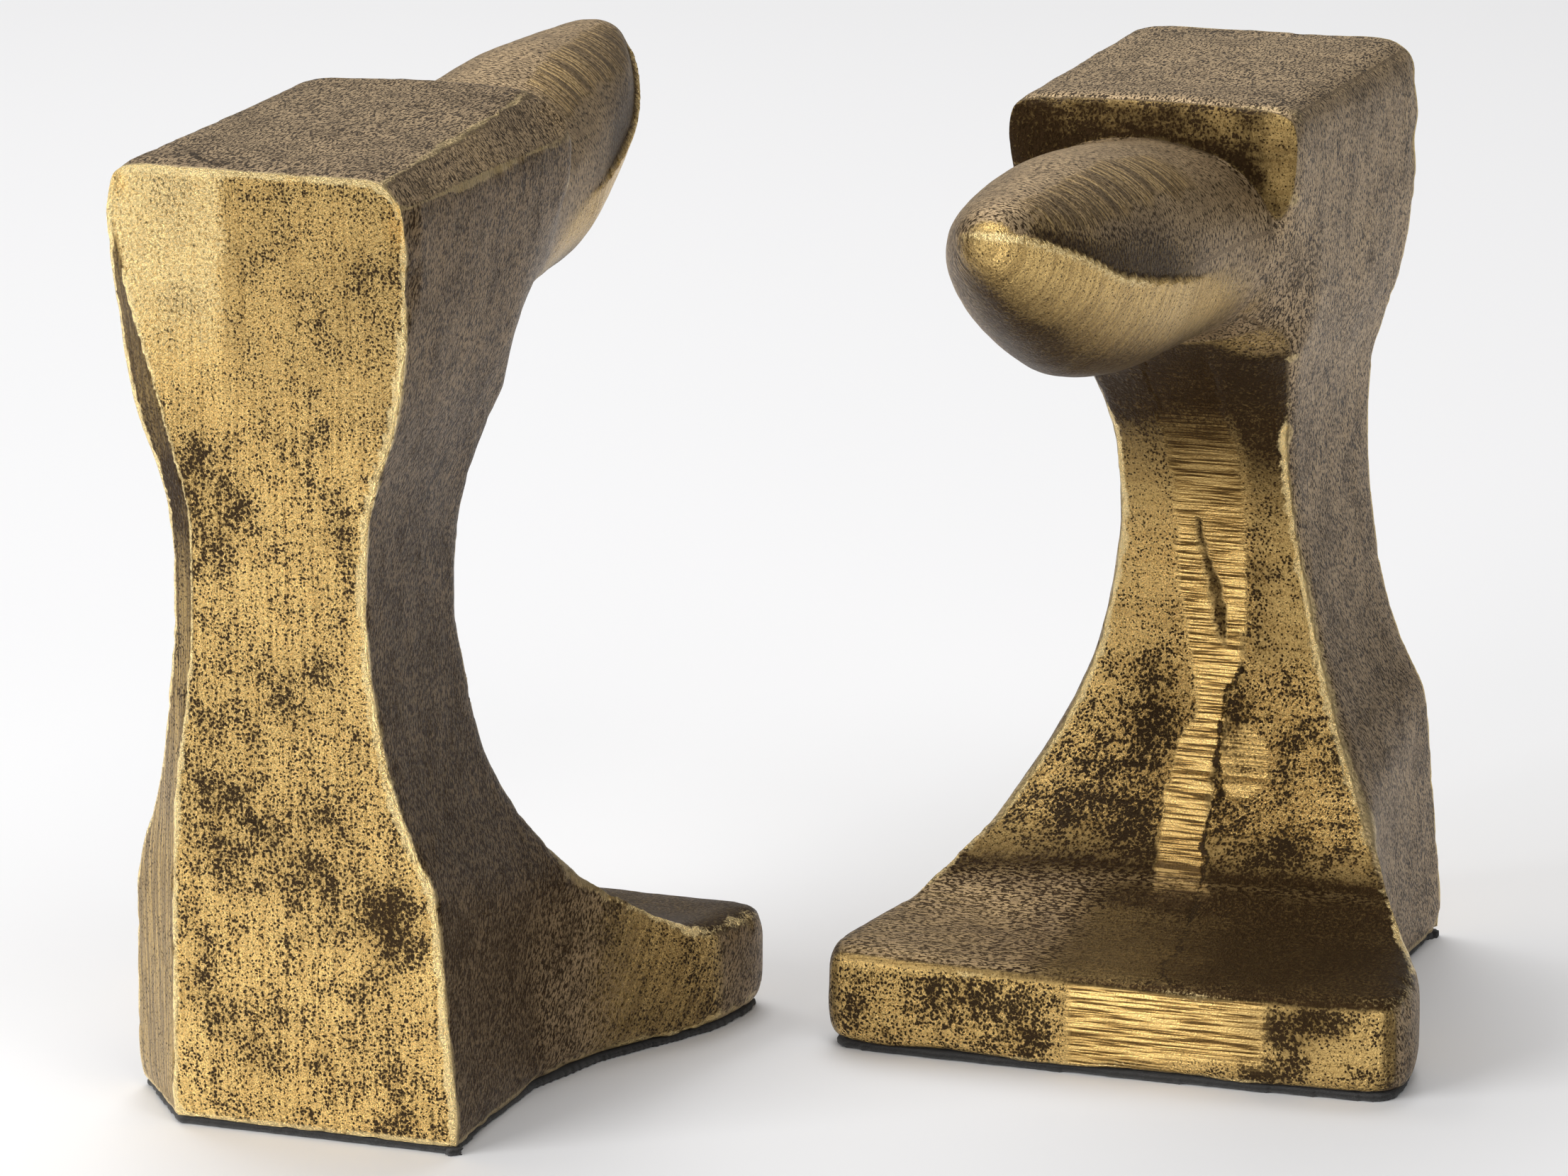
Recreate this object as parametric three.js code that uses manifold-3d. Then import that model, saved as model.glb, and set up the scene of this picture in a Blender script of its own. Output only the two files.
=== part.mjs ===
// A pair of anvil-shaped book ends. Each is one solid casting with a flat back that the books lean on, a
// pinched waist, a spreading foot and a horn that points away from the books, and it stands on a thin felt
// pad. The two castings are mirror images of each other. They stand side by side, with their backs facing
// opposite ways.
//
// A casting is drawn in its own frame: x runs from the flat back towards the horn, y across, z up from the
// floor, and the origin is on the floor under the middle of the back. Its ground corner, where the back has
// a wide chamfer, is on the +y side. All sizes are in millimetres.

import * as THREE from 'three';
import Module from 'manifold-3d';

const wasm = await Module();
wasm.setup();

// ---- Driving dimensions ----

// Where the two stand: the origin of the row is under the middle of the pair's outer box.
const leftPlace = { x: -110.5, y: 73.35 };
const rightPlace = { x: 109.5, y: -70.65 };
const rightTurn = THREE.MathUtils.degToRad(181.35); // the right book end faces back, a touch askew

const feltThickness = 1.5;
const feltInset = 1.2; // how far the felt stays inside the metal edge
const glueGap = 0.3;
const metalBottom = feltThickness + glueGap;
const topEdge = 199.5; // height of the top's outer edge at the back
const backCrown = 0.8; // how much higher the middle of the top is than its side edges, at the back
const frontCrown = 1.6; // and at the front
const topRise = 1; // how much higher the top's front edge is than its back edge
const headHalfWidth = 32;
const headDepth = 95; // from the flat back to the front face of the head
const plainBackRadius = 7.5; // of the top's long edges, at the back
const groundBackRadius = 5;
const hornEndRadius = 4; // and at the horn end
const groundAwayRadius = 11.5; // the same, on the left casting's plain side
const frontTopRadius = 2; // of the edge between the top and the front face of the head

// Profiles by height: [height, value].
const backHalfWidth = [
  [0, 41.3], [20, 39.8], [50, 36.9], [57, 35.6], [61, 33.3], [68, 30.2], [75, 27.5], [85, 25.1], [100, 22.8],
  [115, 22], [126, 22.4], [135, 23.8], [143, 26.8], [151, 29.1], [160, 30.7], [170, 31.6], [182, 32.1],
  [200, 31.9],
];
// The edge between the side and the front, [height, distance from the back, half width]: the foot's front,
// its rounded rim and flat top, the climb to the waist and the sweep out to the head.
const frontEdge = [
  [0, 124.4, 66], [18, 124.8, 66], [20.4, 124.4, 65.6], [21.6, 122.4, 64.4], [22.4, 118, 62.4],
  [23, 109, 60.4], [24, 97, 57], [27, 87.5, 53.4], [30, 81.5, 50], [36, 73.3, 45.3], [42, 67.3, 41.3],
  [50, 61, 36.5],
  [60, 55.8, 31.2], [75, 51.6, 25.8], [90, 51.2, 22.3], [105, 53.4, 19.8], [120, 58, 19.3], [130, 62, 20.8],
  [140, 68.3, 23], [150, 76.5, 25.8], [160, 85.3, 27.4], [169, 93, 28.1], [176, headDepth, 28.8],
  [184, headDepth, 30], [192, headDepth, 30.5], [200, headDepth, 30.5],
];

// What the ground side has less than the plain side: it is slimmer at the waist's front, fuller at the head.
const noTrim = [[0, 0], [200, 0]];
const groundFrontTrim = [
  [20, 0], [25, 1.4], [45, 1.8], [70, 1.8], [100, 0.8], [125, 0], [155, -1.1], [200, -1.1],
];
const groundBackTrim = [[0, 0], [130, 0], [150, -1.1], [185, -1.3], [200, -1.9]];

// How far the front swells between its corners, and the size of those corners.
const frontBulge = [
  [0, 1], [20, 1], [24, 0.4], [60, 0.8], [118, 1.2], [135, 3.5], [148, 8], [160, 6], [172, 1], [200, 1],
];
const cornerRound = [
  [0, 9], [20, 9], [24, 4], [30, 1.8], [60, 1.5], [138, 1.5], [150, 3], [163, 7], [174, 5], [183, 1.2],
  [200, 1.2],
];

// The ground corner: the flat back ends at chamferFace, and the cut runs to chamferDepth along the side.
const chamferFace = [
  [0, 22], [28, 21.4], [51, 20.9], [69, 20.2], [89, 17.5], [103, 16], [118, 15.5], [130, 16.2], [141, 19.1],
  [161, 24.9], [175, 29.2], [186, 31.3], [200, 31.4],
];
const chamferDepth = [
  [0, 23], [30, 19], [56, 15.5], [75, 9], [90, 5.5], [118, 4.5], [161, 4.5], [175, 3], [186, 1], [200, 1],
];
const edgeBreak = 0.8; // the other back edge is only broken
const brokenEdge = [[0, edgeBreak], [200, edgeBreak]];

// The foot's side wall in plan, [distance from the back, half width at the floor], and how it leans in.
const footHalfWidth = [
  [0, 41.3], [12, 40.2], [44, 40], [56, 41], [67, 45], [82, 52], [92, 57.8], [100, 61.4], [112, 63],
  [125, 63],
];
const footWallHeight = 57; // where the wall ends in the knee, at the back
const footLean = 5.1; // how far the wall's top edge leans in, at the back
const footLeanFade = 60; // the lean fades out over this distance

// Where the body's side turns into the foot's side wall, [height, distance from the back].
const kneeSpace = 8; // the least room between the knee line and the back edge
const kneeLine = [
  [0, 91.5], [24, 91.5], [30, 84], [35, 77], [39, 68], [43, 58], [46, 48], [50, 36], [54, 24], [57, 17],
  [200, 17],
];

// The horn, by the fraction of its length: half width, top and underside heights.
const hornRoot = 97;
const hornLength = 102.7;
const hornBuried = 25; // how far the horn's solid runs back into the head
const hornHalfWidth = [[0, 27.2], [0.25, 24.6], [0.5, 23], [0.75, 21.2], [1, 16.5]];
const hornTop = [[0, 193.7], [0.25, 197.6], [0.5, 200.8], [0.75, 203.2], [1, 209]];
const hornUnderside = [[0, 151.4], [0.25, 151.2], [0.5, 152.8], [0.75, 161], [1, 174]];
const hornMiddle = 0.52; // the widest line, as a fraction of the height from the underside up
const hornShift = [[0, 1.4], [1, 4]]; // its middle line bends to the chamfered side
const hornTipPower = 3.2; // how late the tip closes
const hornTipRound = 2.17;
// Superellipse powers of the section's upper and lower halves. The underside is flat at the root and keeled
// further out.
const hornTopPower = 2.1;
const hornKeelPower = [[0, 2.5], [0.58, 1.7]];

const ringHeights = [
  metalBottom, 3.4, 6, 12, 18, 20.4, 21.6, 22.4, 23, 24, 26, 28.5, 32, 36, 40, 44, 48, 52, 57, 61, 66, 72, 80,
  90, 100, 110, 120, 130, 139, 148, 156, 164, 171, 178, 185, 190, 193, 195.5, 197.5, 198.8, topEdge,
];
const bottomRounding = [[metalBottom, 1.3], [3.4, 0.4], [6, 0], [200, 0]]; // how far the lowest rings step in
const topScales = [0.72, 0.4]; // the top is closed by smaller copies of its rim

// ---- Helpers ----

const lerp = THREE.MathUtils.lerp;

// The value at a position of a profile given as [position, value, ...] stations: a smooth curve with no
// overshoot. The column says which value.
function along(stations, position, column = 1) {
  const last = stations.length - 1;
  if (position <= stations[0][0]) return stations[0][column];
  if (position >= stations[last][0]) return stations[last][column];
  const rise = (k) => (stations[k + 1][column] - stations[k][column]) / (stations[k + 1][0] - stations[k][0]);
  const slope = (k) => {
    if (k === 0) return rise(0);
    if (k === last) return rise(last - 1);
    const before = rise(k - 1);
    const after = rise(k);
    return before * after <= 0 ? 0 : (2 * before * after) / (before + after);
  };
  const i = stations.findIndex(([place]) => place > position) - 1;
  const width = stations[i + 1][0] - stations[i][0];
  const t = (position - stations[i][0]) / width;
  const ease = t * t * (3 - 2 * t);
  const leave = width * slope(i) * t * (1 - t) * (1 - t);
  const arrive = width * slope(i + 1) * t * t * (1 - t);
  return lerp(stations[i][column], stations[i + 1][column], ease) + leave - arrive;
}

// Moves every corner of a closed outline inwards.
function shrink(outline, distance) {
  const count = outline.length;
  return outline.map((point, i) => {
    const ahead = outline[(i + 1) % count].clone().sub(outline[(i + count - 1) % count]).normalize();
    return new THREE.Vector2(point.x - ahead.y * distance, point.y + ahead.x * distance);
  });
}

// A closed solid from rings of equal length, bottom to top or back to front, closed at each end by a fan.
function loft(rings, startPoint, endPoint) {
  const count = rings[0].length;
  const positions = [...rings.flat(), startPoint, endPoint].flatMap((p) => [p.x, p.y, p.z]);
  const start = rings.length * count;
  const end = start + 1;
  const triangles = [];
  for (let i = 0; i < count; i += 1) {
    const next = (i + 1) % count;
    triangles.push(start, next, i);
    for (let k = 0; k < rings.length - 1; k += 1) {
      const low = k * count;
      const high = low + count;
      triangles.push(low + i, low + next, high + next, low + i, high + next, high + i);
    }
    const top = (rings.length - 1) * count;
    triangles.push(top + i, top + next, end);
  }
  const geometry = new THREE.BufferGeometry();
  geometry.setAttribute('position', new THREE.Float32BufferAttribute(positions, 3));
  geometry.setIndex(triangles);
  return geometry;
}

function toManifold(geometry) {
  const vertProperties = new Float32Array(geometry.attributes.position.array);
  const triVerts = new Uint32Array(geometry.index.array);
  return new wasm.Manifold(new wasm.Mesh({ numProp: 3, vertProperties, triVerts }));
}

function fromManifold(solid) {
  const mesh = solid.getMesh();
  const geometry = new THREE.BufferGeometry();
  geometry.setAttribute('position', new THREE.BufferAttribute(mesh.vertProperties, 3));
  geometry.setIndex(new THREE.BufferAttribute(mesh.triVerts, 1));
  return geometry;
}

// Turns a casting's geometry into its mirror image across its own middle plane.
function mirrored(geometry) {
  const copy = geometry.clone();
  copy.scale(1, -1, 1);
  const order = Array.from(copy.index.array);
  for (let i = 0; i < order.length; i += 3) [order[i], order[i + 1]] = [order[i + 1], order[i]];
  copy.setIndex(order);
  return copy;
}

// ---- The casting ----

// Half width of the body at a distance from the back and a height: the body's side or the foot's side wall.
function halfWidth(x, z, side) {
  const back = along(backHalfWidth, z) - along(side.backTrim, z);
  const front = along(frontEdge, z, 2) - along(side.frontTrim, z);
  const body = lerp(back, front, x / along(frontEdge, z));
  const climb = Math.min(z / footWallHeight, 1);
  const foot = along(footHalfWidth, x) - footLean * climb * Math.exp(-x / footLeanFade);
  return Math.min(body, foot);
}

// How far a rounded top edge has stepped in at a height.
function edgeInset(z, radius) {
  const rise = z - (topEdge - radius);
  return rise <= 0 ? 0 : radius - Math.sqrt(Math.max(radius * radius - rise * rise, 0));
}

// A point of the body's side at a distance from the back, as seen from above.
function sidePoint(x, z, side) {
  const radius = lerp(side.topRadius.back, side.topRadius.front, THREE.MathUtils.clamp(x / headDepth, 0, 1));
  return new THREE.Vector2(x, side.sign * (halfWidth(x, z, side) - edgeInset(z, radius)));
}

// The side seen from above, from the back edge to the rounded corner that ends on the front face.
function sideRun(z, side, reach) {
  const backSteps = 4;
  const footSteps = 5;
  const start = along(side.backEdge, z);
  const knee = Math.max(along(kneeLine, z), start + kneeSpace);
  const corner = along(cornerRound, z);
  const bend = reach - corner;
  const run = [];
  for (let i = 0; i < backSteps; i += 1) run.push(sidePoint(lerp(start, knee, i / backSteps), z, side));
  for (let i = 0; i < footSteps; i += 1) run.push(sidePoint(lerp(knee, bend, i / footSteps), z, side));
  const peak = sidePoint(reach, z, side);
  const landing = new THREE.Vector2(reach, peak.y - side.sign * corner);
  const round = new THREE.QuadraticBezierCurve(sidePoint(bend, z, side), peak, landing);
  return [...run, ...round.getPoints(3)];
}

// One horizontal section of the body, anticlockwise from the broken back edge.
function bodyRing(z, sides) {
  const frontSteps = 6;
  const reach = along(frontEdge, z) - edgeInset(z, frontTopRadius);
  const bulge = along(frontBulge, z);
  const plain = sideRun(z, sides.plain, reach);
  const ground = sideRun(z, sides.ground, reach);
  const from = plain[plain.length - 1];
  const to = ground[ground.length - 1];
  const front = [];
  for (let i = 1; i < frontSteps; i += 1) {
    const t = i / frontSteps;
    front.push(new THREE.Vector2(reach + bulge * (1 - (2 * t - 1) ** 4), lerp(from.y, to.y, t)));
  }
  const plainCorner = new THREE.Vector2(0, plain[0].y + edgeBreak);
  const faceEdge = along(chamferFace, z) - edgeInset(z, sides.ground.topRadius.back);
  const groundCorner = new THREE.Vector2(0, faceEdge);
  return [plainCorner, ...plain, ...front, ...ground.reverse(), groundCorner];
}

// The top is crowned across and climbs a little towards the horn. The rings just under it follow it in part.
function lifted(point, z) {
  const forward = point.x / headDepth;
  const across = point.y / headHalfWidth;
  const lift = topRise * forward + lerp(backCrown, frontCrown, forward) * (1 - across * across);
  return new THREE.Vector3(point.x, point.y, z + lift * THREE.MathUtils.smoothstep(z, 185, topEdge));
}

function bodyGeometry(sides) {
  const rings = ringHeights.map((z) => {
    const outline = shrink(bodyRing(z, sides), along(bottomRounding, z));
    return outline.map((point) => lifted(point, z));
  });
  const rim = bodyRing(topEdge, sides);
  const middle = new THREE.Vector2(headDepth / 2, 0);
  const inward = (point, scale) => lifted(point.clone().lerp(middle, 1 - scale), topEdge);
  topScales.forEach((scale) => rings.push(rim.map((point) => inward(point, scale))));
  const under = new THREE.Vector3(headDepth * 0.7, 0, metalBottom);
  return loft(rings, under, lifted(middle, topEdge));
}

// The horn: superellipse sections along x, closing to a blunt tip.
function hornGeometry() {
  const sectionSteps = 24;
  const lengthSteps = 13;
  const section = (x, fraction) => {
    const close = (1 - fraction ** hornTipPower) ** (1 / hornTipRound);
    const low = along(hornUnderside, fraction);
    const high = along(hornTop, fraction);
    const middle = lerp(low, high, hornMiddle);
    const wide = along(hornHalfWidth, fraction) * close;
    const ring = [];
    for (let i = 0; i < sectionSteps; i += 1) {
      const angle = (i / sectionSteps) * 2 * Math.PI;
      const upper = Math.sin(angle) >= 0;
      const power = 2 / (upper ? hornTopPower : along(hornKeelPower, fraction));
      const across = Math.sign(Math.cos(angle)) * Math.abs(Math.cos(angle)) ** power;
      const up = Math.sign(Math.sin(angle)) * Math.abs(Math.sin(angle)) ** power;
      const reach = (upper ? high - middle : middle - low) * close;
      ring.push(new THREE.Vector3(x, along(hornShift, fraction) + wide * across, middle + reach * up));
    }
    return ring;
  };
  const rings = [section(hornRoot - hornBuried, 0)];
  for (let i = 0; i < lengthSteps; i += 1) {
    const fraction = 1 - (1 - i / lengthSteps) ** 1.7;
    rings.push(section(hornRoot + hornLength * fraction, fraction));
  }
  const middleHeight = (part) => lerp(along(hornUnderside, part), along(hornTop, part), hornMiddle);
  const start = new THREE.Vector3(hornRoot - hornBuried, along(hornShift, 0), middleHeight(0));
  const tip = new THREE.Vector3(hornRoot + hornLength, along(hornShift, 1), middleHeight(1));
  return loft(rings, start, tip);
}

function castingGeometry(sides) {
  return fromManifold(toManifold(bodyGeometry(sides)).add(toManifold(hornGeometry())));
}

// ---- The felt pad ----

function feltGeometry(sides) {
  const outline = shrink(bodyRing(metalBottom, sides), bottomRounding[0][1] + feltInset);
  const low = outline.map((point) => new THREE.Vector3(point.x, point.y, 0));
  const high = outline.map((point) => new THREE.Vector3(point.x, point.y, feltThickness));
  const middle = headDepth * 0.7;
  return loft([low, high], new THREE.Vector3(middle, 0, 0), new THREE.Vector3(middle, 0, feltThickness));
}

// ---- Materials ----

const antiqueBrass = new THREE.MeshStandardMaterial({ color: 0x9a7a3c, roughness: 0.42, metalness: 1 });
const blackFelt = new THREE.MeshStandardMaterial({ color: 0x141414, roughness: 0.95, metalness: 0 });

// ---- The pair ----

// The sides of a casting. Within the pair only the radius of the plain side's top edge at the horn end
// differs, because the left one is ground away more.
function castingSides(plainFrontRadius) {
  const plain = {
    sign: -1,
    backTrim: noTrim,
    frontTrim: noTrim,
    backEdge: brokenEdge,
    topRadius: { back: plainBackRadius, front: plainFrontRadius },
  };
  const ground = {
    sign: 1,
    backTrim: groundBackTrim,
    frontTrim: groundFrontTrim,
    backEdge: chamferDepth,
    topRadius: { back: groundBackRadius, front: hornEndRadius },
  };
  return { plain, ground };
}

function bookEnd(name, sides, shape) {
  const part = new THREE.Group();
  const casting = new THREE.Mesh(shape(castingGeometry(sides)), antiqueBrass);
  casting.name = `${name}_casting`;
  const felt = new THREE.Mesh(shape(feltGeometry(sides)), blackFelt);
  felt.name = `${name}_felt_pad`;
  part.add(casting, felt);
  return part;
}

const group = new THREE.Group();

const left = bookEnd('left', castingSides(groundAwayRadius), (geometry) => geometry);
left.position.set(leftPlace.x, leftPlace.y, 0);

const right = bookEnd('right', castingSides(hornEndRadius), mirrored);
right.position.set(rightPlace.x, rightPlace.y, 0);
right.rotation.z = rightTurn;

group.add(left, right);

export default group;
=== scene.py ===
"""Looks for a pair of cast book ends: two antique-brass castings, each standing on a black felt pad.

A casting's surface is worked out in its own frame, in millimetres: x runs from the flat back towards the
horn, y across, with the chamfered ground side at +y and the plain side at -y, and z up from the floor.
Both castings share that frame, because the right one is the mirror image of the left one.
"""

import math
from types import SimpleNamespace

import bpy
import numpy as np
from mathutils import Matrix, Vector, noise


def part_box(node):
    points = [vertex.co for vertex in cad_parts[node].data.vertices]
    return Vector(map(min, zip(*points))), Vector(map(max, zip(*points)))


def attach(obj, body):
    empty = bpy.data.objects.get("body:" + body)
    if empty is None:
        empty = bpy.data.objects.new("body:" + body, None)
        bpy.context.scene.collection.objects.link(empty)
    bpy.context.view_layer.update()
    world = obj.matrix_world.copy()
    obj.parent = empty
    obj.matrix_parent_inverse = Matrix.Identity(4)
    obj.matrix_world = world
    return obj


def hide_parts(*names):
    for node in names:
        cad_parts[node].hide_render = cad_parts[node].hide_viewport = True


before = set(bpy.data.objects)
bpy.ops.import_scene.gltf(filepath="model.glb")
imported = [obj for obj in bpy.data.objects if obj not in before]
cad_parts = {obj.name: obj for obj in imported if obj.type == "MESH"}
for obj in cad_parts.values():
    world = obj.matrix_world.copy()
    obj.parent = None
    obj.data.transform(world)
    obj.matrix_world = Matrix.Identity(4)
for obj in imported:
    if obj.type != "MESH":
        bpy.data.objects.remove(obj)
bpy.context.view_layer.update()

MILLIMETRE = 0.001

# ---- Where the castings stand in the row frame, in millimetres ----

LEFT_PLACE = (-110.5, 73.35)
RIGHT_PLACE = (109.5, -70.65)
RIGHT_TURN = math.radians(181.35)

# ---- The head ----

HEAD_DEPTH = 95
HEAD_HALF_WIDTH = 31.9  # at the flat back
HEAD_TAPER = 1.4  # how much narrower each half is at the horn's end
TOP_EDGE = 199.5
TOP_RADIUS = 7.5  # how round the top edge is at the flat back
TOP_RADIUS_GAIN = 4  # how much rounder it is at the horn's end
BEVEL_DEPTH = 0.8
HORN_AXIS = (2, 176)  # across, height
HORN_GIRTH = 23  # the horn's radius, where its brush lines run around it

# ---- Meshes, in millimetres ----

CASTING_VOXEL = 1.05
FELT_VOXEL = 0.62
SMOOTHING_ROUNDS = 70  # how often the face directions are averaged with their neighbours
CREASE_KEPT = 0.33  # the change of direction, in radians, above which an edge stays sharp
BACK_CREASE_KEPT = 0.13  # the same near the flat back, where the chamfer's edges are shallow
FITTING_ROUNDS = 14
EDGE_SOFTENING = 0.3  # the share of the way to the neighbours' middle that each point moves
FILLET_ROUNDS = 220
HOLLOW_ROUNDS = 30  # how wide the neighbourhood is that hollows are measured against
FELT_SWELL = 0.9  # how far the felt's rim stands out past the pad the CAD has
FELT_TUFTS = 0.3  # how far its short tufts reach in and out
FELT_WAVES = 0.35  # the same for its slower swelling
WELD_DISTANCE = 0.01  # points closer than this become one
NEAREST_ZERO = 1e-9  # keeps a division by a length from failing where there is no length

# ---- The ground strip up the waist's front ----

# [height, ground side edge, plain side edge]
STRIP = np.array([
    [20, 6, -14], [27, 2, -12], [36, 3.5, -6.5], [44, 4.9, -4.9], [49, 4.3, -4.9], [56, 3.6, -6.3],
    [61, 0.3, -5.8], [66, 1, -5.6], [69, 1.4, -8.3], [77, 3.6, -8.3], [84, 5, -9], [97, 6.2, -8.4],
    [114, 6, -8.8], [128, 7.8, -7], [150, 8, -8],
])
# The open seam in the middle of the strip: [height, middle, half width]
SEAM = np.array([
    [76, -3.9, 0.2], [78, -3.6, 1.1], [83, -3.2, 1.5], [88, -2.2, 1.5], [92, -1.2, 1.0], [96, 0.3, 0.7],
    [99, 0.8, 0.7], [104, 1.4, 0.25],
])
SEAM_DEPTH = 0.9
ROUGH_DEPTH = 0.3  # how far the as-cast front lies below the ground strip

# ---- The horn's plain side ----

# The crease between the scooped flank and the bright lower face: [distance from the back, height]
HORN_CREASE = np.array([
    [98, 169], [114, 171], [128, 173], [137, 174], [154, 177], [168, 180.5], [176, 184.5], [182, 187.5],
    [190, 191], [195, 193], [200, 194.5],
])
SCOOP_DEPTH = 0.8
SCOOP_RISE = 7  # the scoop fades out between half and about twice this height above the crease
CREST_HEIGHT = 0.5  # how far the rim under the crease stands out

# ---- Wear ----

# The flat ground patch beside the strip: (across, up), (half width, half height), strength
FLAT_PATCH = ((-11.5, 52), (5.5, 7), 1)
EDGE_STANDS_OUT = (0.056, 0.084)  # how far an edge stands out where rubbing starts, and where it is full
NICK_DEPTH = 0.35  # how deep the nicks along the edges are

# ---- The unevenness of the cast surface: waves of three sizes, and how high they stand ----

BROAD_SIZE = 22
BROAD_HEIGHT = 0.22
MEDIUM_SIZE = 7
MEDIUM_HEIGHT = 0.1
FINE_SIZE = 3.2
FINE_HEIGHT = 0.07

# ---- Cracks, as lines of (distance from the back, across, height) ----

FOOT_CRACK = [(123, -13, 22), (114, -9, 23), (106, -10.5, 23), (98, -9, 24), (88, -8.6, 27), (76, -7.5, 34)]
STRIP_CRACK = [(53, -8.8, 71), (54.5, -5.6, 66), (56.7, -5.2, 60), (60.7, -5.3, 52), (64, -7.2, 47),
               (68, -6.7, 42), (73, -5.8, 37), (76, -7.5, 34)]
SIDE_CRACK = [(20, -26, 118), (26, -24, 122), (31, -22, 124), (34, -22, 130), (42, -23, 136)]
TOP_CRACK = [(3, 9, 199.8), (9, 17, 199.8), (16, 22, 199.8), (20, 26, 199.5)]
BACK_NICK = [(0, 6, 66), (0, 4, 66.5), (0, 1.5, 66), (0, 0.5, 65.4)]
CRACKS = [FOOT_CRACK, STRIP_CRACK, SIDE_CRACK, TOP_CRACK, BACK_NICK]
CRACK_REACH = 6.0  # distances from a crack are measured up to here
CRACK_WANDER = 0.8  # how far a crack strays from its line


# ---- Small numeric helpers ----

SEED_STEP = 17.31  # how far apart, in bumps, two seeds look into the same noise


def ramp(value, low, high):
    """0 below low, 1 above high, and smooth between them."""
    share = np.clip((value - low) / (high - low), 0, 1)
    return share * share * (3 - 2 * share)


def field(points, size, seed):
    """Smooth noise from -1 to 1 at points, with bumps about size millimetres across."""
    scaled = points / size + seed * SEED_STEP
    return np.array([noise.noise(Vector(p)) for p in scaled])


def spot(across, up, middle, reach, strength):
    """A soft oval spot."""
    distance = ((across - middle[0]) / reach[0]) ** 2 + ((up - middle[1]) / reach[1]) ** 2
    return strength * np.exp(-distance)


# ---- A casting's own frame ----


class Stance:
    """Where a casting stands: it takes points from the row frame to the casting's own frame and back."""

    def __init__(self, place, turn=0.0, mirrored=False):
        cosine, sine = math.cos(turn), math.sin(turn)
        flip = -1 if mirrored else 1
        self.place = np.array([*place, 0])
        self.axes = np.array([[cosine, -flip * sine, 0], [sine, flip * cosine, 0], [0, 0, 1]])
        self.mirrored = mirrored

    def to_own(self, row):
        return (row - self.place) @ self.axes

    def to_row(self, own):
        return own @ self.axes.T + self.place

    def winding(self, squares):
        """The squares' corners in the order that makes them face outwards in the other frame."""
        return squares[:, ::-1] if self.mirrored else squares


# ---- Mesh work ----


def even_mesh(node, size):
    """A CAD node remeshed into even squares: its points in millimetres of the row frame, and its squares."""
    scratch = bpy.data.objects.new("scratch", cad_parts[node].data.copy())
    bpy.context.scene.collection.objects.link(scratch)
    weld = scratch.modifiers.new("weld", "WELD")
    weld.merge_threshold = WELD_DISTANCE * MILLIMETRE
    remesh = scratch.modifiers.new("remesh", "REMESH")
    remesh.mode = "VOXEL"
    remesh.voxel_size = size * MILLIMETRE
    graph = bpy.context.evaluated_depsgraph_get()
    mesh = bpy.data.meshes.new_from_object(scratch.evaluated_get(graph))
    points = np.zeros(len(mesh.vertices) * 3, np.float32)
    mesh.vertices.foreach_get("co", points)
    corners = np.zeros(len(mesh.loops), np.int32)
    mesh.loops.foreach_get("vertex_index", corners)
    bpy.data.objects.remove(scratch)
    return points.reshape(-1, 3).astype(float) / MILLIMETRE, corners.reshape(-1, 4)


def square_normals(points, squares):
    """Each square's direction."""
    first = points[squares[:, 2]] - points[squares[:, 0]]
    second = points[squares[:, 3]] - points[squares[:, 1]]
    normals = np.cross(first, second)
    return normals / np.maximum(np.linalg.norm(normals, axis=1, keepdims=True), NEAREST_ZERO)


def neighbours(squares):
    """The pairs of squares that share an edge."""
    count = len(squares)
    edges = np.concatenate([squares[:, [k, (k + 1) % 4]] for k in range(4)]).astype(np.int64)
    owner = np.tile(np.arange(count), 4)
    key = edges.min(1) * (edges.max() + 1) + edges.max(1)
    order = np.argsort(key, kind="stable")
    same = np.nonzero(key[order][1:] == key[order][:-1])[0]
    return np.stack([owner[order[same]], owner[order[same + 1]]], axis=1)


def gathered(index, values, count):
    """Sums of values by index."""
    return np.stack([np.bincount(index, values[:, k], count) for k in range(values.shape[1])], axis=1)


def point_normals(points, squares):
    normals = np.repeat(square_normals(points, squares), 4, axis=0)
    total = gathered(squares.ravel(), normals, len(points))
    return total / np.maximum(np.linalg.norm(total, axis=1, keepdims=True), NEAREST_ZERO)


def smooth_facets(points, squares):
    """Irons out the CAD facets and keeps the real edges."""
    normals = square_normals(points, squares)
    pairs = neighbours(squares)
    middle = points[squares[pairs[:, 0]]].mean(1)
    near_back = (1 - ramp(middle[:, 0], 24, 34)) * (1 - ramp(middle[:, 2], 178, 186))
    kept = CREASE_KEPT + (BACK_CREASE_KEPT - CREASE_KEPT) * near_back
    count = len(squares)
    for _ in range(SMOOTHING_ROUNDS):
        apart = ((normals[pairs[:, 0]] - normals[pairs[:, 1]]) ** 2).sum(1)
        weight = np.exp(-apart / (2 * kept**2))[:, None]
        total = normals + gathered(pairs[:, 0], weight * normals[pairs[:, 1]], count)
        total += gathered(pairs[:, 1], weight * normals[pairs[:, 0]], count)
        normals = total / np.linalg.norm(total, axis=1, keepdims=True)
    corner = squares.ravel()
    shares = np.bincount(corner, minlength=len(points))[:, None]
    facing = np.repeat(normals, 4, axis=0)
    for _ in range(FITTING_ROUNDS):
        middle = np.repeat(points[squares].mean(1), 4, axis=0)
        gap = ((middle - points[corner]) * facing).sum(1, keepdims=True)
        points = points + gathered(corner, facing * gap, len(points)) / shares
    return points


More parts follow.
